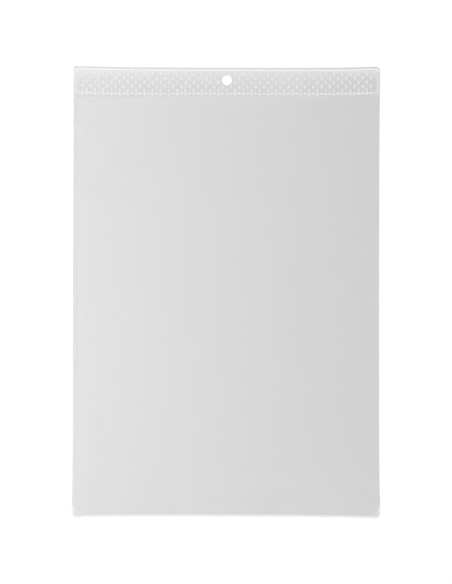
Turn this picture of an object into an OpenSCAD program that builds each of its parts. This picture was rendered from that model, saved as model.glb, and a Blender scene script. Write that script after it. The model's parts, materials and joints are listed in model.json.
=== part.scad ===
// Hanging document pocket for one portrait A4 document: two clear films welded
// together on three sides, with a dot-welded header strip and a hanging hole.
// Millimetres. The origin is the centre of the hanging hole in the rear face,
// which lies in the plane y = 0. +Z is up and the front faces -Y.

/* [Document] */
// Width of the document that goes in
document_w = 210; // [100:1:300]
// Height of the document that goes in
document_h = 297; // [140:1:430]
// Free width left beside the document, both sides together
side_play = 5.6; // [2:0.2:12]
// Free height left above the document
top_play = 3; // [1:0.2:12]

/* [Film] */
// Thickness of the rear and front films
film_t = 0.25; // [0.2:0.01:0.4]
// Radius of the outer corners
corner_r = 3.5; // [3:0.1:6]

/* [Welds] */
// Width of the welds on the two sides and at the bottom
weld_w = 2.2; // [2:0.1:5]
// Height to which the bottom weld turns up the sides, from the bottom edge
corner_rise = 8.4; // [6.5:0.1:20]
// Radius of the squeezed-out rib along the inner edge of each weld
inner_rib_r = 0.2; // [0.15:0.01:0.25]
// Width of the rib near the outer edge of each weld
outer_rib_w = 0.6; // [0.4:0.1:0.8]
// Height of the rib near the outer edge of each weld
outer_rib_h = 0.15; // [0.1:0.01:0.3]
// Distance from the outer edge to the rib near it
outer_rib_inset = 0.8; // [0.4:0.1:1]

/* [Header] */
// Height of the header strip
header_h = 20; // [18:0.5:28]
// Diameter of the hanging hole
hole_d = 7; // [4:0.5:9]
// Distance from the top edge to the centre of the hanging hole
hole_drop = 9; // [7.5:0.5:10]
// Distance from the edge of the strip to the outer side of its weld bead
bead_inset = 0.95; // [0.6:0.05:1.4]
// Width of the weld bead round the strip
bead_w = 1.3; // [0.8:0.1:1.4]
// Height of the weld bead round the strip
bead_h = 0.25; // [0.15:0.05:0.4]

/* [Header dots] */
// Distance from dot to dot along a row
dot_pitch = 5.92; // [4:0.01:10]
// Distance from row to row, with every second row shifted by half a pitch
dot_row_pitch = 3; // [2.5:0.1:5]
// Width of a dot
dot_w = 1.4; // [0.8:0.1:1.8]
// Height of a dot
dot_l = 2.1; // [1:0.1:2.4]
// How far a dot stands out of the strip
dot_h = 0.25; // [0.1:0.05:0.4]
// Least distance from a dot to the hole, and to the bead above and below it
dot_gap = 0.1; // [0.05:0.05:0.6]
// Least distance from the end dot of a row to the bead beside it
dot_side_gap = 1; // [0.1:0.1:3]

/* [Mouth] */
// Height of the open slit between the header strip and the front film
mouth_gap = 0.8; // [0.4:0.1:3]
// How far the front film stands off the rear film at the middle of the mouth
bow = 8; // [6:0.5:15]
// Gap between the front film and the welds and rear film round it
seam_gap = 0.15; // [0.1:0.05:0.3]

/* [Hidden] */
$fn = 64;

// Corners of one dot, and cells of the front film across and up it.
dot_sides = 8;
bow_columns = 24;
bow_rows = 16;
// Shape of the bow: near a parabola across, rising fast from the bottom weld.
across_power = 2.2;
upward_power = 3;
// Extra length of the hole's cutter past the faces that it cuts.
past = 1;

// Pocket inside the welds, from the document and its play.
pocket_w = document_w + side_play;
pocket_h = document_h + top_play;
sheet_w = pocket_w + 2 * weld_w;
sheet_h = weld_w + pocket_h + mouth_gap + header_h;

// Heights of the horizontal lines, measured from the hanging hole.
top_z = hole_drop;
header_z = top_z - header_h;
mouth_z = header_z - mouth_gap;
bottom_z = top_z - sheet_h;
bottom_weld_z = bottom_z + weld_w;
corner_weld_z = bottom_z + corner_rise;
// Inside of the header's bead.
bead_inner = bead_inset + bead_w;

// Depth of the front face of the header strip and welds, behind which lie two films.
two_films = 2 * film_t;
// Depth of the centre line of the inner ribs, which stay clear of the rear film.
rib_depth = film_t + seam_gap + inner_rib_r;

// Front film inside its seams.
front_w = pocket_w - 2 * seam_gap;
front_z = bottom_weld_z + seam_gap;
front_h = mouth_z - front_z;

// Dot rows, counted up from the bead under them, and as many as the header holds.
first_row_z = header_z + bead_inner + dot_gap + dot_l / 2;
last_row_z = top_z - bead_inner - dot_gap - dot_l / 2;
dot_rows = floor((last_row_z - first_row_z) / dot_row_pitch) + 1;
dots_half_w = sheet_w / 2 - bead_inner - dot_side_gap - dot_w / 2;
hole_keep_r = hole_d / 2 + dot_gap + dot_l / 2;

// One layer of film: a flat outline from `depth` on, as thick as `t`.
module layer(depth, t) {
    translate([0, -depth, 0]) rotate([90, 0, 0]) linear_extrude(t) children();
}

// Outline of the whole pocket, drawn in by `inset` all round.
module outline(inset = 0) {
    half_w = sheet_w / 2 - inset;
    low_z = bottom_z + inset;
    high_z = top_z - inset;
    r = corner_r - inset;
    translate([-half_w + r, low_z]) square([2 * (half_w - r), high_z - low_z]);
    translate([-half_w, low_z + r]) square([2 * half_w, high_z - low_z - 2 * r]);
    for (x = [-half_w + r, half_w - r], z = [low_z + r, high_z - r]) translate([x, z]) circle(r);
}

// Band across the whole sheet between two heights.
module band(low_z, high_z) {
    translate([-sheet_w / 2, low_z]) square([sheet_w, high_z - low_z]);
}

// The header's own outline, drawn in by `inset` all round.
module header_outline(inset = 0) {
    intersection() {
        outline(inset);
        band(header_z + inset, top_z);
    }
}

module hanging_hole() {
    rotate([90, 0, 0]) cylinder(d = hole_d, h = 2 * (two_films + past), center = true);
}

// Rear film: the full outline, with the hanging hole.
module back_sheet() {
    color([0.86, 0.87, 0.88, 0.5]) difference() {
        layer(0, film_t) outline();
        hanging_hole();
    }
}

// Depth of the slack front film at u across (-1 to 1) and s up it (0 to 1).
function bow_at(u, s) = bow * (1 - pow(abs(u), across_power)) * (1 - pow(1 - s, upward_power));

// One face of the front film, `lift` in front of the face that meets the document.
function film_face(lift) = [
    for (j = [0 : bow_rows], i = [0 : bow_columns])
        let (u = 2 * i / bow_columns - 1, s = j / bow_rows)
        [u * front_w / 2, -film_t - seam_gap - bow_at(u, s) - lift, front_z + s * front_h]
];

// Front film: a slack sheet that is free along the mouth and bows forward there.
module front_sheet() {
    row = bow_columns + 1;
    face_points = row * (bow_rows + 1);
    cells = [for (j = [0 : bow_rows - 1], i = [0 : bow_columns - 1]) j * row + i];
    inner = [for (c = cells) each [[c, c + row, c + 1], [c + 1, c + row, c + row + 1]]];
    outer = [for (f = inner) [f[2] + face_points, f[1] + face_points, f[0] + face_points]];
    // Points once round the edge of the film, anticlockwise seen from the front.
    rim = concat(
        [for (i = [0 : bow_columns]) i],
        [for (j = [1 : bow_rows]) j * row + bow_columns],
        [for (i = [1 : bow_columns]) bow_rows * row + bow_columns - i],
        [for (j = [1 : bow_rows - 1]) (bow_rows - j) * row]
    );
    edge = [
        for (k = [0 : len(rim) - 1])
            let (a = rim[k], b = rim[(k + 1) % len(rim)])
            each [[a, b, a + face_points], [b, b + face_points, a + face_points]]
    ];
    color([0.88, 0.89, 0.90, 0.4])
        polyhedron(concat(film_face(0), film_face(film_t)), concat(inner, outer, edge));
}

// Header strip: the top of the front film, cut off at the mouth, with the same hole.
module header_strip() {
    color([0.86, 0.87, 0.88, 0.6]) difference() {
        layer(film_t, film_t) header_outline();
        hanging_hole();
    }
}

// Weld bead that runs round the header strip, a little inside its edge.
module header_bead() {
    color([0.95, 0.95, 0.95]) layer(two_films, bead_h) difference() {
        header_outline(bead_inset);
        header_outline(bead_inner);
    }
}

// Outline of one weld dot, taller than it is wide.
module dot() {
    polygon([
        for (k = [0 : dot_sides - 1])
            let (a = (k + 0.5) * 360 / dot_sides)
            [dot_w / 2 * cos(a), dot_l / 2 * sin(a)]
    ]);
}

// Weld dots that join the strip to the rear film, in staggered rows round the hole.
module header_dots() {
    color([0.95, 0.95, 0.95]) for (j = [0 : dot_rows - 1]) {
        z = first_row_z + j * dot_row_pitch;
        shift = j % 2 == 0 ? 0 : dot_pitch / 2;
        last = floor((dots_half_w - shift) / dot_pitch);
        first = j % 2 == 0 ? -last : -last - 1;
        for (i = [first : last]) {
            x = i * dot_pitch + shift;
            if (norm([x, z]) > hole_keep_r) layer(two_films, dot_h) translate([x, z]) dot();
        }
    }
}

// Fused margin of the front film inside the given region, with its outer rib.
module weld_margin() {
    layer(film_t, film_t) intersection() {
        outline();
        children();
    }
    layer(two_films, outer_rib_h) intersection() {
        difference() {
            outline(outer_rib_inset);
            outline(outer_rib_inset + outer_rib_w);
        }
        children();
    }
}

// Margin of one side between two heights: -1 is left and 1 is right, as seen from the front.
module side_margin(side, low_z, high_z) {
    translate([side * (sheet_w - weld_w) / 2, (low_z + high_z) / 2])
        square([weld_w, high_z - low_z], center = true);
}

// Upright rib along the inner edge of one side's weld, between two heights.
module upright_rib(side, low_z, high_z) {
    translate([side * (pocket_w / 2 + inner_rib_r), -rib_depth, low_z])
        cylinder(r = inner_rib_r, h = high_z - low_z);
}

module side_weld(side) {
    color([0.93, 0.93, 0.94]) {
        weld_margin() side_margin(side, corner_weld_z, header_z);
        upright_rib(side, corner_weld_z, header_z);
    }
}

// Bottom weld: turns up round both lower corners. The front film bends about its rib.
module bottom_weld() {
    color([0.93, 0.93, 0.94]) {
        weld_margin() union() {
            band(bottom_z, bottom_weld_z);
            for (side = [-1, 1]) side_margin(side, bottom_weld_z, corner_weld_z);
        }
        for (side = [-1, 1]) upright_rib(side, bottom_weld_z, corner_weld_z);
        translate([0, -rib_depth, bottom_weld_z - inner_rib_r])
            rotate([0, 90, 0]) cylinder(r = inner_rib_r, h = pocket_w, center = true);
    }
}

back_sheet();
front_sheet();
header_strip();
header_bead();
header_dots();
side_weld(-1);  // left_weld
side_weld(1);  // right_weld
bottom_weld();
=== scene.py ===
import json
import math

import bpy
from mathutils import Matrix, Vector
from mathutils.geometry import delaunay_2d_cdt


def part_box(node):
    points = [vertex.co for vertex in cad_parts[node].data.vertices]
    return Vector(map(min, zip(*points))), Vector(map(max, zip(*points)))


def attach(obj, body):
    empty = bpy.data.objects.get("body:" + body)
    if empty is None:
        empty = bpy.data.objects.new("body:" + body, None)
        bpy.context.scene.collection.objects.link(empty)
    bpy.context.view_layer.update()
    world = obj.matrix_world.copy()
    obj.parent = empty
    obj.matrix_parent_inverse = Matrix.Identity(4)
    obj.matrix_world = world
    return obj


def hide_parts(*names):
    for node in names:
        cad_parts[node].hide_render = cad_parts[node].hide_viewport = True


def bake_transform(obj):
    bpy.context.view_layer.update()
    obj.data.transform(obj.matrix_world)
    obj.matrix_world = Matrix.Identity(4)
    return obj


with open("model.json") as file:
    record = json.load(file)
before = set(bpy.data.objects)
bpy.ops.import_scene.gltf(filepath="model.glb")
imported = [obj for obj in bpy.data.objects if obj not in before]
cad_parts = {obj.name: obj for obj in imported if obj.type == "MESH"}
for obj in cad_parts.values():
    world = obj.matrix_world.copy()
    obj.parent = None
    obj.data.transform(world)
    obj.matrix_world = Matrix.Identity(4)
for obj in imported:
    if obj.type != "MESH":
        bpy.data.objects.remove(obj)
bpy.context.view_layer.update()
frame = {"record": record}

# Rear film: one full-size sheet of clear soft PVC, die-cut with rounded corners and a
# punched hanging hole. It hangs flat behind the rest. Where a weld has melted through
# both films, the melted plastic is a piece of its own and the film has an opening for it.
MM = 0.001
rear_low, rear_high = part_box("back_sheet")
half_width, top, bottom = rear_high.x, rear_high.z, rear_low.z
film = rear_high.y - rear_low.y
# The films above and below the mouth meet in the middle of the slit between their solids.
mouth = (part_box("header_strip")[0].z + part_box("front_sheet")[1].z) / 2
seam_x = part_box("right_weld")[0].x
seam_width = half_width - seam_x
seam_z = bottom + seam_width
# Outside this line the bottom weld has melted both films into one.
clear_edge = 1.1 * MM
corner_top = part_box("left_weld")[0].z
# The die has cut the upper left corner tighter than the other three.
corner_radius, tight_radius = 3.5 * MM, 2.3 * MM
hole_radius = frame["record"]["mounts"][0]["dims"]["r_mm"] * MM
# About the distance between neighbouring points of a film.
cell = 6.2 * MM
# A hair between films that lie on each other, so that no two faces coincide.
film_gap = 0.02 * MM

# Middle lines of the header's weld bead. Its left run stands further in than its right one.
bead_low, bead_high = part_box("header_bead")
bead_half, end_bead_half = 0.72 * MM, 0.7 * MM
end_inset, left_shift, foot_inset = 0.5 * MM, 0.4 * MM, 0.65 * MM
bead_x = bead_high.x - end_inset
left_bead_x = bead_x - left_shift
bead_top, bead_bottom = bead_high.z - bead_half, bead_low.z + foot_inset

# Weld dots, in rows that the hole interrupts.
dots_low, dots_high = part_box("header_dots")
dot_half = (0.92 * MM, 1.4 * MM)
dot_pitch, row_pitch = 5.92 * MM, 3.0 * MM
dot_rows = int((dots_high.z - dots_low.z) / row_pitch) + 1
first_row = (dots_low.z + dots_high.z) / 2 - (dot_rows - 1) * row_pitch / 2
dots_aside = math.ceil(half_width / dot_pitch)
dot_clearance = hole_radius + 1.15 * MM

# The lower run of the header's weld is a chain of short spots in a shallow zigzag. The
# smooth bead ends beside its first and last spots.
link_half = (1.42 * MM, 0.78 * MM)
link_pitch = dot_pitch / 2
link_offset, link_drop = 0.12 * MM, 0.3 * MM
links_aside = 35
bead_end = 105.4 * MM


def arc(centre, radius, start, end, steps):
    """Points on an arc, with the angles in degrees."""
    angles = [math.radians(start + (end - start) * k / steps) for k in range(steps + 1)]
    return [(centre[0] + radius * math.cos(a), centre[1] + radius * math.sin(a)) for a in angles]


def run(start, end):
    """Points on a straight run, about a cell apart, without its two ends."""
    steps = max(1, round(math.dist(start, end) / cell))
    return [
        tuple(a + (b - a) * k / steps for a, b in zip(start, end)) for k in range(1, steps)
    ]


def oval(x, z, half):
    """Twelve-sided oval, the rim of one weld spot."""
    return [(x + half[0] * p, z + half[1] * q) for p, q in arc((0, 0), 1, 0, 330, 11)]


def with_runs(corners):
    """A path through the given points, with its long straight runs divided."""
    path = corners[:1]
    for start, end in zip(corners, corners[1:]):
        path += run(start, end) + [end]
    return path


def sideways(path):
    """The direction to the left of a path at each of its points."""
    found = []
    for k in range(len(path)):
        before, after = path[max(k - 1, 0)], path[min(k + 1, len(path) - 1)]
        along = Vector((after[0] - before[0], after[1] - before[1])).normalized()
        found.append((-along.y, along.x))
    return found


def band(path, halves):
    """Closed outline of a band along a path, with its half width at each point."""
    left, right = [], []
    for (x, z), (p, q), half in zip(path, sideways(path), halves):
        left.append((x + half * p, z + half * q))
        right.append((x - half * p, z - half * q))
    return right + left[::-1]


def select_only(*pieces):
    """Selects these pieces alone, with the first of them as the active one."""
    bpy.ops.object.select_all(action="DESELECT")
    for piece in pieces:
        piece.select_set(True)
    bpy.context.view_layer.objects.active = pieces[0]


def flat_sheet(name, loops):
    """A flat sheet cut to the first loop, with the other loops as its openings. All the
    loops run anticlockwise."""
    points, outlines = [], []
    for loop in loops:
        outlines.append(range(len(points), len(points) + len(loop)))
        points += [Vector(place) for place in loop]
    inside_only, tolerance = 1, 1e-9
    places, _, faces, _, _, owners = delaunay_2d_cdt(
        points, [], outlines, inside_only, tolerance
    )
    # A face of the sheet lies inside the first loop alone.
    sheet_only = [face for face, owner in zip(faces, owners) if list(owner) == [0]]
    mesh = bpy.data.meshes.new(name)
    mesh.from_pydata([(*place, 0) for place in places], [], sheet_only)
    sheet = bpy.data.objects.new(name, mesh)
    bpy.context.scene.collection.objects.link(sheet)
    return sheet


def grid_sheet(name, columns, rows):
    """A flat sheet of square cells whose lines stand at the given places."""
    bpy.ops.object.select_all(action="DESELECT")
    across, upward = len(columns) - 1, len(rows) - 1
    bpy.ops.mesh.primitive_grid_add(x_subdivisions=across, y_subdivisions=upward, size=1)
    sheet = bpy.context.object
    sheet.name = name
    for vertex in sheet.data.vertices:
        i = round((vertex.co.x + 0.5) * across)
        j = round((vertex.co.y + 0.5) * upward)
        vertex.co = (columns[i], rows[j], 0)
    return sheet


def face_up(sheet):
    """Turns the faces of a flat sheet upwards."""
    if sheet.data.polygons[0].normal.z < 0:
        sheet.data.flip_normals()


def stand_up(piece, depth=0):
    """Turns a piece that was drawn lying face up, so that it faces the front."""
    upright = Matrix.Rotation(math.pi / 2, 4, "X")
    piece.data.transform(Matrix.Translation((0, -depth, 0)) @ upright)


# How far the sheet has moved at the ends of its header, its foot and its mouth.
top_curl, top_twist, top_tilt, top_spread = 1.17 * MM, 0.18 * MM, 0.45 * MM, 0.3 * MM
foot_curl, foot_tilt, foot_spread = 1.1 * MM, 0.3 * MM, 1 * MM
foot_rise, foot_lean = 0.45 * MM, 0.7 * MM
left_sag, right_sag, mouth_reach = 1.2 * MM, 0.65 * MM, 1.35 * MM


def settle(piece):
    """Lets a piece share in how the sheet has shrunk and leans: the long edges are drawn
    in between the corners, the foot stands a little to the left of the header, and the
    mouth runs lower towards its ends, most on the left."""
    middle = (top + bottom) / 2
    for vertex in piece.data.vertices:
        x, _, z = vertex.co
        u = x / half_width
        leftward, rightward, downward = max(0, -u), max(0, u), max(0, z / bottom)
        high = max(0, (z - middle) / (top - middle))
        low = max(0, (middle - z) / (middle - bottom))
        near_mouth = math.exp(-(((z - mouth) / mouth_reach) ** 2))
        vertex.co.z += foot_rise * downward
        vertex.co.z -= (left_sag * leftward**1.5 + right_sag * rightward**4) * near_mouth
        vertex.co.z += (top_curl * u**4 + top_twist * u**3 - top_tilt * u) * high
        vertex.co.z -= (foot_curl * u**4 + foot_tilt * u) * low
        vertex.co.x += u * (top_spread * high**16 + foot_spread * downward**10)
        vertex.co.x -= foot_lean * (1 - math.exp(-4 * downward))


half_columns = 27
pocket_columns = [seam_x * (k / half_columns - 1) for k in range(2 * half_columns + 1)]
clear_x = half_width - clear_edge
header_columns = [-half_width, -clear_x] + pocket_columns + [clear_x, half_width]
header_outline = [(x, mouth) for x in header_columns]
header_outline += run((half_width, mouth), (half_width, top - corner_radius))
header_outline += arc((half_width - corner_radius, top - corner_radius), corner_radius, 0, 90, 8)
header_outline += run((half_width - corner_radius, top), (tight_radius - half_width, top))
header_outline += arc((tight_radius - half_width, top - tight_radius), tight_radius, 90, 180, 8)
header_outline += run((-half_width, top - tight_radius), (-half_width, mouth))

bead_turn, bead_foot = 1.9 * MM, 0.8 * MM
bead_path = with_runs(
    [(-bead_end, bead_bottom)]
    + arc((bead_foot - left_bead_x, bead_bottom + bead_foot), bead_foot, 270, 180, 4)
    + arc((bead_turn - left_bead_x, bead_top - bead_turn), bead_turn, 180, 90, 6)
    + arc((bead_x - bead_turn, bead_top - bead_turn), bead_turn, 90, 0, 6)
    + arc((bead_x - bead_foot, bead_bottom + bead_foot), bead_foot, 0, -90, 4)
    + [(bead_end, bead_bottom)]
)
bead_halves = []
for x, z in bead_path:
    share = min(1, max(0, (z - bead_top + bead_turn) / bead_turn))
    bead_halves.append(end_bead_half + (bead_half - end_bead_half) * share)

dot_places = []
for j in range(dot_rows):
    z = first_row + j * row_pitch
    for k in range(-dots_aside, dots_aside + 1):
        x = (k + (0.5 if j % 2 else 0)) * dot_pitch
        if abs(x) < dots_high.x and math.hypot(x, z) > dot_clearance:
            dot_places.append((x, z))

link_places = []
for k in range(-links_aside, links_aside + 1):
    z = bead_bottom - link_drop + (link_offset if k % 2 else -link_offset)
    link_places.append((k * link_pitch, z))

header_openings = [arc((0, 0), hole_radius, 0, 350, 35), band(bead_path, bead_halves)]
header_openings += [oval(x, z, dot_half) for x, z in dot_places]
header_openings += [oval(x, z, link_half) for x, z in link_places]
header_blank = flat_sheet("header_blank", [header_outline] + header_openings)

row_count = round((mouth - corner_top) / cell)
rear_rows = [bottom + clear_edge, seam_z] + [
    corner_top + (mouth - corner_top) * k / row_count for k in range(row_count + 1)
]
rear_film = grid_sheet("rear_film", header_columns, rear_rows)
# Beside the foot the bottom weld takes the place of the film's margin.
bpy.ops.object.mode_set(mode="EDIT")
bpy.ops.mesh.select_all(action="DESELECT")
bpy.ops.object.mode_set(mode="OBJECT")
for face in rear_film.data.polygons:
    face.select = abs(face.center.x) > clear_x and face.center.y < corner_top
bpy.ops.object.mode_set(mode="EDIT")
bpy.ops.mesh.delete(type="FACE")
bpy.ops.object.mode_set(mode="OBJECT")


def round_foot(sheet, inset):
    """Moves the two lower corners of a sheet that lies `inset` inside the outline onto
    the bottom weld's inner curve."""
    reach = (corner_radius - inset) * (1 - math.sqrt(0.5))
    for vertex in sheet.data.vertices:
        x, z = vertex.co.x, vertex.co.y
        if abs(abs(x) - half_width + inset) < film_gap and abs(z - bottom - inset) < film_gap:
            vertex.co.x -= math.copysign(reach, x)
            vertex.co.y += reach


round_foot(rear_film, clear_edge)

# Above the mouth the rear film is cut and pierced like the strip in front of it.
header_part = header_blank.copy()
header_part.data = header_blank.data.copy()
bpy.context.scene.collection.objects.link(header_part)
select_only(rear_film, header_part)
bpy.ops.object.join()
bpy.ops.object.mode_set(mode="EDIT")
bpy.ops.mesh.select_all(action="SELECT")
bpy.ops.mesh.remove_doubles(threshold=0.01 * MM)
bpy.ops.mesh.normals_make_consistent(inside=False)
bpy.ops.object.mode_set(mode="OBJECT")
face_up(rear_film)
stand_up(rear_film)

# Soft film never hangs dead flat: shallow waves run across the middle of the rear film.
rear_wave = 0.25 * MM
for vertex in rear_film.data.vertices:
    x, _, z = vertex.co
    if seam_z < z < mouth and abs(x) < seam_x:
        u, s = x / seam_x, (z - seam_z) / (mouth - seam_z)
        freedom = (1 - u * u) ** 2 * (4 * s * (1 - s)) ** 2
        vertex.co.y -= rear_wave * freedom * (1 + math.sin(9 * u + 4 * s)) / 2
settle(rear_film)


def thicken(piece):
    """Gives a film its thickness, from its rear face forward, and smooths it."""
    wall = piece.modifiers.new("film_thickness", "SOLIDIFY")
    wall.thickness = film
    wall.offset = 1
    select_only(piece)
    bpy.ops.object.modifier_apply(modifier=wall.name)
    bpy.ops.object.shade_smooth_by_angle(angle=math.radians(30))


thicken(rear_film)


def linear(hex_colour):
    """Linear colour of an sRGB hex value."""
    parts = [int(hex_colour[k : k + 2], 16) / 255 for k in (1, 3, 5)]
    return [p / 12.92 if p <= 0.04045 else ((p + 0.055) / 1.055) ** 2.4 for p in parts] + [1]


def add_node(tree, kind, settings=None, sockets=None):
    """Adds a node. A socket's value is a constant, or the output that it is linked to."""
    node = tree.nodes.new(kind)
    for name, value in (settings or {}).items():
        setattr(node, name, value)
    for name, value in (sockets or {}).items():
        if isinstance(value, bpy.types.NodeSocket):
            tree.links.new(value, node.inputs[name])
        else:
            node.inputs[name].default_value = value
    return node


# Clear soft PVC, rolled out between polished rolls. Each face takes away a little of the
# light behind it and scatters some grey back, so the tone comes from how many films lie
# over each other. The rolls leave broad, very faint bands up the sheet and a fine texture.
clear_film = bpy.data.materials.new("calendered_clear_pvc")
clear_film.use_nodes = True
tree = clear_film.node_tree
tree.nodes.clear()
place = add_node(tree, "ShaderNodeTexCoord").outputs["Object"]
band_width, texture_size = 14 * MM, 1.6 * MM
stretched = add_node(
    tree, "ShaderNodeMapping", sockets={"Vector": place, "Scale": (1, 1, 0.06)}
).outputs["Vector"]
roll_bands = add_node(
    tree,
    "ShaderNodeTexNoise",
    sockets={"Vector": stretched, "Scale": 1 / band_width, "Detail": 2, "Roughness": 0.4},
).outputs["Fac"]
texture = add_node(
    tree,
    "ShaderNodeTexNoise",
    sockets={"Vector": place, "Scale": 1 / texture_size, "Detail": 1},
).outputs["Fac"]
rolled_tone = add_node(
    tree,
    "ShaderNodeMix",
    {"data_type": "RGBA"},
    {"Factor": roll_bands, 6: linear("#b7b7b8"), 7: linear("#bdbdbe")},
).outputs[2]
gloss = add_node(
    tree,
    "ShaderNodeMapRange",
    sockets={"Value": texture, "To Min": 0.2, "To Max": 0.3},
).outputs["Result"]
relief = add_node(
    tree,
    "ShaderNodeBump",
    sockets={"Height": texture, "Strength": 0.15, "Distance": 0.02 * MM},
).outputs["Normal"]
surface = add_node(
    tree,
    "ShaderNodeBsdfPrincipled",
    sockets={
        "Base Color": rolled_tone,
        "Roughness": gloss,
        "Normal": relief,
        "IOR": 1.53,
        "Alpha": 0.212,
    },
)
add_node(tree, "ShaderNodeOutputMaterial", sockets={"Surface": surface.outputs["BSDF"]})

# The same film in the header, clearer and with a grey tone. Its colour carries painted shade,
# darker towards the right end, and painted highlights, a pale band under the upper weld line and
# a faint one over the mouth.
header_painted_film = clear_film.copy()
header_painted_film.name = "header_pvc_painted_light"
tree = header_painted_film.node_tree
surface = tree.nodes["Principled BSDF"]
surface.inputs["Alpha"].default_value = 0.17
grey_cast = tree.nodes["Mix"]
grey_cast.inputs[6].default_value = linear("#a6a6a7")
grey_cast.inputs[7].default_value = linear("#ababac")
place = tree.nodes["Texture Coordinate"].outputs["Object"]
across, _, height = add_node(tree, "ShaderNodeSeparateXYZ", sockets={"Vector": place}).outputs
# Painted shade: the header's grey deepens towards its right end, where the light of the left
# softbox falls off.
shade_start, shade_full = 45 * MM, 108 * MM
right_shade_share = add_node(
    tree,
    "ShaderNodeMapRange",
    sockets={"Value": across, "From Min": shade_start, "From Max": shade_full},
).outputs["Result"]
shaded_tone = add_node(
    tree,
    "ShaderNodeMix",
    {"data_type": "RGBA"},
    {"Factor": right_shade_share, 6: grey_cast.outputs[2], 7: linear("#8f8f90")},
).outputs[2]
# Heights in the header in millimetres, and the share of painted highlight there, lighter towards
# the top: a faint band over the mouth, little in the middle, and the most under the upper weld
# line.
highlight_shares = (
    (-11.5, 0), (-11.1, 0.25), (-10.2, 0.25), (-9.6, 0.1),
    (-4.5, 0.1), (-1.5, 0.19), (1.5, 0.32),
    (5, 0.71), (6.5, 0.98), (7.8, 1), (8.2, 0),
)
highlight_low, highlight_high = -12, 10
rising = add_node(
    tree,
    "ShaderNodeMapRange",
    sockets={"Value": height, "From Min": highlight_low * MM, "From Max": highlight_high * MM},
).outputs["Result"]
painted_highlight = add_node(tree, "ShaderNodeValToRGB", sockets={"Fac": rising})
stops = painted_highlight.color_ramp.elements
stops.remove(stops[1])
for level, share in highlight_shares:
    stop = stops.new((level - highlight_low) / (highlight_high - highlight_low))
    stop.color = (share, share, share, 1)
# Painted highlight: the header's tone is mixed towards a pale grey by the share at each height.
highlighted_tone = add_node(
    tree,
    "ShaderNodeMix",
    {"data_type": "RGBA"},
    {"Factor": painted_highlight.outputs["Color"], 6: shaded_tone, 7: linear("#c9c9ca")},
).outputs[2]
tree.links.new(highlighted_tone, surface.inputs["Base Color"])


def dress(piece, material, slot, *nodes):
    """Gives a piece its material, and hides the solids that it stands for. The slot is not used.
    """
    piece.data.materials.clear()
    piece.data.materials.append(material)
    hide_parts(*nodes)


dress(rear_film, clear_film, "clear_film", "back_sheet")
rear_film.data.materials.append(header_painted_film)
for face in rear_film.data.polygons:
    face.material_index = 1 if face.center.z > mouth - MM else 0
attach(rear_film, "pocket")

# Bottom weld: both films melted into one band along the foot, round the lower corners and
# a little way up the sides. The bar that pressed it left one rib along its middle, and
# soft plastic squeezed out into a second rib along its inner edge.
rib_height, squeeze_height, seam_taper = 0.15 * MM, 0.3 * MM, 0.2 * MM
rib_steps = 6
rim_width = 0.4 * MM
rim_share = 1 - 2 * rim_width / seam_width


def seam_profile():
    """Front of a weld's section from its inner to its outer edge, as (share of the half
    width, depth). The face tapers outwards under its two ribs."""

    def face(share):
        return 2 * film - seam_taper * (1 - share) / 2

    def rib(middle, reach, height):
        arch = []
        for k in range(rib_steps + 1):
            angle = math.pi * k / rib_steps
            share = middle + reach * math.cos(angle)
            arch.append((share, face(share) + height * math.sin(angle)))
        return arch

    ribs = rib(middle=0.82, reach=0.18, height=squeeze_height)
    ribs += rib(middle=0, reach=0.27, height=rib_height)
    return ribs + [(-rim_share, face(-rim_share)), (-1, face(-1))]


def sweep(name, path, halves, profile):
    """A solid along a path, with its half width at each point and one closed section of
    (share of the half width, depth), drawn lying face up."""
    bpy.ops.object.select_all(action="DESELECT")
    along, around = len(path) - 1, len(profile)
    bpy.ops.mesh.primitive_grid_add(x_subdivisions=along, y_subdivisions=around, size=1)
    piece = bpy.context.object
    piece.name = name
    aside = sideways(path)
    for vertex in piece.data.vertices:
        i = round((vertex.co.x + 0.5) * along)
        share, depth = profile[round((vertex.co.y + 0.5) * around) % around]
        across = share * halves[i]
        (x, z), (p, q) = path[i], aside[i]
        vertex.co = (x + across * p, z + across * q, depth)
    bpy.ops.object.mode_set(mode="EDIT")
    bpy.ops.mesh.select_all(action="SELECT")
    bpy.ops.mesh.remove_doubles(threshold=0.001 * MM)
    bpy.ops.mesh.fill_holes(sides=0)
    bpy.ops.mesh.select_all(action="SELECT")
    bpy.ops.mesh.normals_make_consistent(inside=False)
    bpy.ops.object.mode_set(mode="OBJECT")
    bpy.ops.object.shade_smooth_by_angle(angle=math.radians(40))
    return piece


seam_middle = seam_width / 2
foot_x, foot_z = half_width - seam_middle, bottom + seam_middle
foot_turn = corner_radius - seam_middle
foot_path = with_runs(
    [(-foot_x, corner_top)]
    + arc((foot_turn - foot_x, foot_z + foot_turn), foot_turn, 180, 270, 8)
    + arc((foot_x - foot_turn, foot_z + foot_turn), foot_turn, 270, 360, 8)
    + [(foot_x, corner_top)]
)
clear_share = 1 - 2 * clear_edge / seam_width
rear_half = [(-1, 0), (-rim_share, 0), (-clear_share, 0)]
rear_half += [(-clear_share, film + film_gap), (1, film + film_gap)]
bottom_seam = sweep(
    "bottom_weld_seam", foot_path, [seam_middle] * len(foot_path), seam_profile() + rear_half
)


def from_edge(x, z):
    """Distance of a place below the header from the outline, measured inwards."""
    beside, below = abs(x) - half_width + corner_radius, bottom + corner_radius - z
    if beside > 0 and below > 0:
        return corner_radius - math.hypot(beside, below)
    return corner_radius - max(beside, below)


def finish_seam(seam, material, node):
    """Sets a weld upright and gives it its material, with a hazier one along its rim."""
    rim_faces = [
        face
        for face in seam.data.polygons
        if from_edge(face.center.x, face.center.y) < rim_width
    ]
    stand_up(seam)
    settle(seam)
    dress(seam, material, "welded_film", node)
    seam.data.materials.append(edge_film)
    for face in rim_faces:
        face.material_index = 1
    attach(seam, "pocket")


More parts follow.
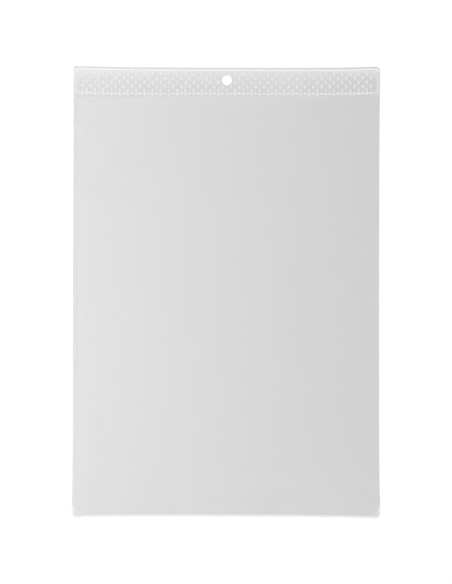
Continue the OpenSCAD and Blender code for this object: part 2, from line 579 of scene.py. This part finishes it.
# The same soft PVC after melting: cleared by the heat, a little duller on its face where
# the roughened electrode pressed it, with a fine pitted texture.
fused_film = bpy.data.materials.new("heat_fused_pvc")
fused_film.use_nodes = True
tree = fused_film.node_tree
tree.nodes.clear()
place = add_node(tree, "ShaderNodeTexCoord").outputs["Object"]
pit_size, cloud_size = 0.7 * MM, 6 * MM
pits = add_node(
    tree,
    "ShaderNodeTexNoise",
    sockets={"Vector": place, "Scale": 1 / pit_size, "Detail": 1},
).outputs["Fac"]
clouds = add_node(
    tree,
    "ShaderNodeTexNoise",
    sockets={"Vector": place, "Scale": 1 / cloud_size, "Detail": 2},
).outputs["Fac"]
tone = add_node(
    tree,
    "ShaderNodeMix",
    {"data_type": "RGBA"},
    {"Factor": clouds, 6: linear("#bbbcbd"), 7: linear("#c7c8c9")},
).outputs[2]
gloss = add_node(
    tree,
    "ShaderNodeMapRange",
    sockets={"Value": pits, "To Min": 0.24, "To Max": 0.4},
).outputs["Result"]
relief = add_node(
    tree,
    "ShaderNodeBump",
    sockets={"Height": pits, "Strength": 0.3, "Distance": 0.03 * MM},
).outputs["Normal"]
surface = add_node(
    tree,
    "ShaderNodeBsdfPrincipled",
    sockets={
        "Base Color": tone,
        "Roughness": gloss,
        "Normal": relief,
        "IOR": 1.53,
        "Alpha": 0.19,
    },
)
add_node(tree, "ShaderNodeOutputMaterial", sockets={"Surface": surface.outputs["BSDF"]})


def fused_variant(name, alpha):
    """The fused film with another haze. It is hazier where it has melted less deep."""
    variant = fused_film.copy()
    variant.name = name
    variant.node_tree.nodes["Principled BSDF"].inputs["Alpha"].default_value = alpha
    return variant


# The rim, where the cut edge has rounded over and stayed hazy.
edge_film = fused_variant("edge_fused_pvc", 0.36)
finish_seam(bottom_seam, fused_film, "bottom_weld")

# Side welds: the margin of the front film, fused to the rear film from the bottom weld up
# to the header, with the same two ribs. Both come from one bar, so they are alike.
margin_film = fused_variant("margin_fused_pvc", 0.212)
for side, name in ((-1, "left"), (1, "right")):
    ends = [(side * foot_x, corner_top), (side * foot_x, mouth)]
    path = with_runs(ends if side > 0 else ends[::-1])
    rear_face = [(share, film + film_gap) for share in (-1, -rim_share, 1)]
    side_seam = sweep(
        name + "_weld_seam", path, [seam_middle] * len(path), seam_profile() + rear_face
    )
    finish_seam(side_seam, margin_film, name + "_weld")

# Front film: the pocket's slack front, one sheet of the same clear soft PVC, held by the
# welds on three sides. It bows forward towards the mouth, and its free upper edge has
# rolled forward a little where the hot blade cut it.
front_low, front_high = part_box("front_sheet")
bow = front_high.y - front_low.y - film
# The slack fades towards the side welds and rises fast from the bottom weld.
across_power, upward_power = 2.2, 5
ripple = 0.12 * MM
# The lip sags in the middle of the mouth and has rolled further on the left, in degrees.
lip_radius, lip_gap, lip_drop = 0.3 * MM, 0.05 * MM, 0.6 * MM
lip_roll, lip_roll_change = 150, 60
lip_steps = 8
front_rows = [
    seam_z + (mouth - lip_gap - lip_radius - seam_z) * k / row_count
    for k in range(row_count + 1)
]
front_film = grid_sheet(
    "front_film", pocket_columns, front_rows + [front_rows[-1]] * lip_steps
)
round_foot(front_film, seam_width)
front_top = front_rows[-1]
row_length = len(pocket_columns)
for index, vertex in enumerate(front_film.data.vertices):
    x, z = vertex.co.x, vertex.co.y
    u, s = x / seam_x, (z - seam_z) / (front_top - seam_z)
    across, upward = 1 - abs(u) ** across_power, 1 - (1 - s) ** upward_power
    wave = math.sin(5 * u + 3 * s + 1) * math.sin(7 * s)
    slack = (bow + ripple * wave) * across * upward
    rolled_share = max(0, index // row_length - row_count) / lip_steps
    roll = math.radians(lip_roll - lip_roll_change * u) * rolled_share
    vertex.co.y = z - lip_drop * across * s**8 + lip_radius * math.sin(roll)
    vertex.co.z = slack + lip_radius * (1 - math.cos(roll))
stand_up(front_film, film + film_gap)
settle(front_film)
thicken(front_film)
dress(front_film, clear_film, "clear_film", "front_sheet")
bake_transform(front_film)

# Header strip: the top of the front film, above the mouth, cut to the same outline and
# punched with the rear film. Between its welds it stands off the rear film a little.
puff = 0.35 * MM


def puff_out(piece):
    """Moves the front of a header piece forward by as much as the strip stands off."""
    middle, reach = (bead_top + bead_bottom) / 2, (bead_top - bead_bottom) / 2
    for vertex in piece.data.vertices:
        u, v = vertex.co.x / bead_x, (vertex.co.z - middle) / reach
        if abs(u) < 1 and abs(v) < 1:
            share = min(1, max(0, -vertex.co.y / film))
            vertex.co.y -= puff * share * (1 - u**8) * (1 - v**2)


header_film = header_blank
header_film.name = "header_film"
face_up(header_film)
stand_up(header_film, film + film_gap)
puff_out(header_film)
settle(header_film)
thicken(header_film)
dress(header_film, header_painted_film, "clear_film", "header_strip")
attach(header_film, "pocket")

# Weld dots: staggered upright ovals where a studded electrode has melted the strip to the
# rear film. Each is a clear plug through both films with a low dome on its front.
spot_rise, spot_dimple = 0.25 * MM, 0.06 * MM
# Share of a spot's half width that stays as a rim round the dimple in its rear.
dimple_rim = 0.3


def weld_spot(name, half):
    """One melted spot: the upper half of a ball, drawn down to the rear face and dimpled."""
    bpy.ops.object.select_all(action="DESELECT")
    bpy.ops.mesh.primitive_uv_sphere_add(segments=12, ring_count=4, radius=1)
    spot = bpy.context.object
    spot.name = name
    bpy.ops.object.mode_set(mode="EDIT")
    bpy.ops.mesh.select_all(action="SELECT")
    bpy.ops.mesh.bisect(plane_co=(0, 0, 0), plane_no=(0, 0, 1), clear_inner=True)
    bpy.ops.mesh.select_all(action="SELECT")
    bpy.ops.transform.resize(value=(*half, spot_rise), center_override=(0, 0, 0))
    bpy.ops.transform.translate(value=(0, 0, 2 * film))
    bpy.ops.mesh.select_all(action="DESELECT")
    bpy.ops.mesh.select_non_manifold()
    bpy.ops.mesh.extrude_edges_move(TRANSFORM_OT_translate={"value": (0, 0, -2 * film)})
    bpy.ops.mesh.edge_face_add()
    bpy.ops.mesh.inset(thickness=dimple_rim * half[0], depth=-spot_dimple)
    bpy.ops.mesh.select_all(action="SELECT")
    bpy.ops.mesh.normals_make_consistent(inside=False)
    bpy.ops.object.mode_set(mode="OBJECT")
    bpy.ops.object.shade_smooth_by_angle(angle=math.radians(60))
    return spot


def spot_group(name, half, places):
    """The same spot at every place, joined into one piece and set upright."""
    spot = weld_spot(name, half)
    group = []
    for x, z in places:
        copy = spot.copy()
        copy.data = spot.data.copy()
        copy.data.transform(Matrix.Translation((x, z, 0)))
        bpy.context.scene.collection.objects.link(copy)
        group.append(copy)
    bpy.data.objects.remove(spot)
    select_only(*group)
    bpy.ops.object.join()
    joined = bpy.context.object
    joined.name = name
    stand_up(joined)
    puff_out(joined)
    settle(joined)
    return joined


weld_dots = spot_group("header_weld_dots", dot_half, dot_places)
dress(weld_dots, fused_variant("stud_fused_pvc", 0.268), "welded_film", "header_dots")
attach(weld_dots, "pocket")

# Header weld line: a smooth raised bead up both ends and along the top of the strip, and
# a zigzag chain of short spots along its lower edge, melted through both films.
bead_rise, bead_steps = 0.25 * MM, 8
bead_profile = [(1, 0)]
for k in range(bead_steps + 1):
    angle = math.pi * k / bead_steps
    bead_profile.append((math.cos(angle), 2 * film + bead_rise * math.sin(angle)))
bead_profile.append((-1, 0))
weld_line = sweep("header_weld_line", bead_path, bead_halves, bead_profile)
# The bead was pressed flatter up the two ends.
end_flattening = 0.35
for vertex in weld_line.data.vertices:
    if vertex.co.y < bead_top - bead_turn and vertex.co.z > 2 * film:
        vertex.co.z = 2 * film + end_flattening * (vertex.co.z - 2 * film)
stand_up(weld_line)
settle(weld_line)
dress(weld_line, fused_film, "welded_film", "header_bead")
weld_line.data.materials.append(fused_variant("end_fused_pvc", 0.3))
for face in weld_line.data.polygons:
    face.material_index = 1 if face.center.z < bead_top - bead_turn else 0
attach(weld_line, "pocket")

weld_chain = spot_group("header_weld_chain", link_half, link_places)
# The spots of the chain have melted deepest. They have cleared and scatter little light.
link_film = fused_variant("link_fused_pvc", 0.17)
link_tone = link_film.node_tree.nodes["Mix"]
link_tone.inputs[6].default_value = linear("#979899")
link_tone.inputs[7].default_value = linear("#a3a4a5")
dress(weld_chain, link_film, "welded_film", "header_bead")
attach(weld_chain, "pocket")

# Floor: a plain pale studio floor, well below the hanging pocket. It is lit by itself, so
# that it looks as pale as the room and throws no more light on the film.
floor_z, floor_size = -0.9, 9
pale = linear("#e6e6e4")
bpy.ops.object.select_all(action="DESELECT")
bpy.ops.mesh.primitive_plane_add(size=floor_size, location=(0, 0, floor_z))
floor = bpy.context.object
floor.name = "studio_floor"
floor.data.transform(floor.matrix_world)
floor.matrix_world = Matrix.Identity(4)
paint = bpy.data.materials.new("matt_floor_paint")
paint.use_nodes = True
tree = paint.node_tree
tree.nodes.clear()
matt = add_node(
    tree, "ShaderNodeBsdfPrincipled", sockets={"Base Color": pale, "Roughness": 0.8}
).outputs[0]
lit = add_node(tree, "ShaderNodeEmission", sockets={"Color": pale}).outputs[0]
straight = add_node(tree, "ShaderNodeLightPath").outputs["Is Camera Ray"]
mixed = add_node(tree, "ShaderNodeMixShader", sockets={0: straight, 1: matt, 2: lit})
add_node(tree, "ShaderNodeOutputMaterial", sockets={"Surface": mixed.outputs[0]})
floor.data.materials.append(paint)

# Studio: a white room seen through the film, a tall soft light on the left that falls off
# towards the right, and a weak one that shows the rear film.
scene = bpy.context.scene
scene.view_settings.view_transform = "Standard"
room = bpy.data.worlds.new("white_room")
scene.world = room
room.use_nodes = True
tree = room.node_tree
tree.nodes.clear()
seen = add_node(
    tree, "ShaderNodeBackground", sockets={"Color": (1, 1, 1, 1), "Strength": 1.02}
).outputs[0]
fill = add_node(
    tree, "ShaderNodeBackground", sockets={"Color": (0.97, 0.98, 1, 1), "Strength": 0.55}
).outputs[0]
straight = add_node(tree, "ShaderNodeLightPath").outputs["Is Camera Ray"]
mixed = add_node(tree, "ShaderNodeMixShader", sockets={0: straight, 1: fill, 2: seen})
add_node(tree, "ShaderNodeOutputWorld", sockets={"Surface": mixed.outputs[0]})
aimed_at = Vector((0, 0, -0.05))


def soft_light(name, place, width, height, power, spread):
    """A tall soft light that is aimed at the pocket and that the camera doesn't see, with
    its spread in degrees."""
    lamp = bpy.data.lights.new(name, "AREA")
    lamp.shape = "RECTANGLE"
    lamp.size, lamp.size_y = width, height
    lamp.energy, lamp.spread = power, math.radians(spread)
    softbox = bpy.data.objects.new(name, lamp)
    softbox.location = place
    aim = aimed_at - softbox.location
    softbox.rotation_euler = aim.to_track_quat("-Z", "Y").to_euler()
    softbox.visible_camera = False
    scene.collection.objects.link(softbox)


soft_light("left_softbox", (-0.55, -0.4, -0.15), width=0.1, height=1.3, power=7.9, spread=180)
soft_light("rear_softbox", (0.5, 0.5, -0.1), width=0.1, height=1.0, power=0.6, spread=50)

# Camera: straight in front, at the height of the pocket's middle. The photograph is 452 by
# 584 pixels and shows 420 mm from top to bottom at the rear film.
frame_height, distance = 0.420, 2.0
camera_x, camera_z = -0.65 * MM, -152.2 * MM
lens = bpy.data.cameras.new("camera")
lens.sensor_width = 36
lens.lens = lens.sensor_width * distance / frame_height
camera = bpy.data.objects.new("camera", lens)
camera.location = (camera_x, -distance, camera_z)
camera.rotation_euler = (math.pi / 2, 0, 0)
scene.collection.objects.link(camera)
scene.camera = camera
